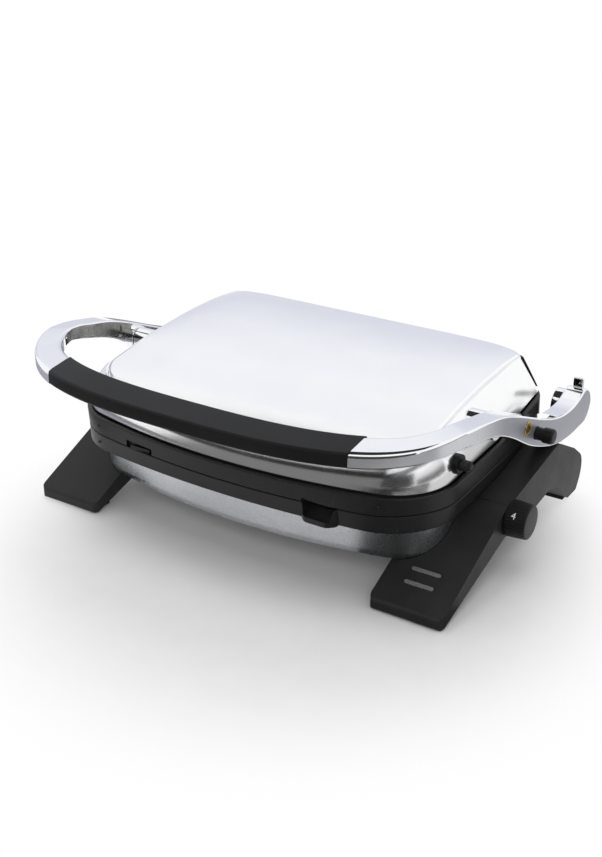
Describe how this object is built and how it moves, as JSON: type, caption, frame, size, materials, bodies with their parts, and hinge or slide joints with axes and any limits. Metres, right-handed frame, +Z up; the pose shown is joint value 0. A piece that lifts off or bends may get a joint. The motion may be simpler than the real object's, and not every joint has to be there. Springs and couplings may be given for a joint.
{
  "type": "contact grill",
  "caption": "Countertop sandwich maker with a brushed steel lid, ribbed black plates and a swinging chrome handle on black legs",
  "frame": {"origin": "On the table under the middle of the whole object's bounding box.", "axes": "+X to the right of the user, +Y away from the user towards the hinge, +Z up."},
  "size_m": [0.3954, 0.3158, 0.145],
  "materials": {
    "brushed_steel": "fine brushed, satin",
    "chrome": "polished mirror chrome plating",
    "black_grip": "satin black",
    "black_plastic": "fine matte grain, charcoal black",
    "coated_casting": "black non-stick coating on die-cast aluminium",
    "rubber": "matte",
    "lens": "frosted translucent grey",
    "brass": "satin",
    "zinc_plate": "dull zinc plating",
    "aluminium_sheet": "plain sheet",
    "ivory_plastic": "plain ivory moulding"
  },
  "bodies": {
    "base": {"base_shell": "brushed_steel", "base_floor": "zinc_plate", "leg_left": "black_plastic", "leg_right": "black_plastic", "rubber_pad_front_left": "rubber", "rubber_pad_front_right": "rubber", "rubber_pad_rear_left": "rubber", "rubber_pad_rear_right": "rubber", "lower_plate": "coated_casting", "lower_heater": "zinc_plate", "lower_heat_shield": "aluminium_sheet", "thermostat": "ivory_plastic", "terminal_block": "ivory_plastic", "cord_gland": "black_plastic", "supply_wire": "rubber", "hinge_bracket_left": "chrome", "hinge_bracket_right": "chrome", "hinge_cap_left": "black_plastic", "hinge_cap_right": "black_plastic", "hinge_pin_left": "zinc_plate", "hinge_pin_right": "zinc_plate", "indicator_lens_power": "lens", "indicator_lens_ready": "lens", "lamp_power": "lens", "lamp_ready": "lens", "leg_screw_front_left": "zinc_plate", "leg_screw_front_right": "zinc_plate", "leg_screw_rear_left": "zinc_plate", "leg_screw_rear_right": "zinc_plate"},
    "handle": {"arm_left": "chrome", "arm_right": "chrome", "grip": "black_grip", "grip_tie_bar": "zinc_plate", "pivot_pin_left": "zinc_plate", "pivot_pin_right": "zinc_plate", "brass_disc": "brass"},
    "lid": {"lid_cover": "brushed_steel", "lid_rear_cover": "black_plastic", "lid_frame": "black_plastic", "upper_plate": "coated_casting", "upper_heater": "zinc_plate", "upper_heat_shield": "aluminium_sheet", "lid_boss_left": "chrome", "lid_boss_right": "chrome", "pivot_bracket_left": "zinc_plate", "pivot_bracket_right": "zinc_plate", "release_bezel": "black_plastic", "release_spring": "zinc_plate"},
    "knob": {"control_knob": "black_plastic", "knob_shaft": "zinc_plate"},
    "lock": {"lock_knob": "black_plastic", "lock_pin": "zinc_plate", "lock_clip": "zinc_plate"},
    "release": {"release_button": "black_plastic"}
  },
  "joints": [
    {"name": "handle_hinge", "type": "hinge", "parent": "base", "child": "handle", "pos_m": [-0.0087, 0.14325, 0.081], "axis": [-1, 0, 0], "range_deg": [0, 180]},
    {"name": "lid_float", "type": "hinge", "parent": "handle", "child": "lid", "pos_m": [-0.0087, 0.00625, 0.113], "axis": [1, 0, 0], "range_deg": [0, 7]},
    {"name": "knob_turn", "type": "hinge", "parent": "base", "child": "knob", "pos_m": [0.1807, 0.00325, 0.0435], "axis": [1, 0, 0], "range_deg": [-216, 54]},
    {"name": "lock_slide", "type": "slide", "parent": "handle", "child": "lock", "axis": [-1, 0, 0], "range_m": [0, 0.005]},
    {"name": "release_press", "type": "slide", "parent": "lid", "child": "release", "axis": [-1, 0, 0], "range_m": [0, 0.003], "stiffness_N_per_m": 600, "deforming": ["release_spring"]}
  ],
  "couplings": [
    {"joint": "lid_float", "follows": "handle_hinge", "ratio": 0.0388}
  ]
}
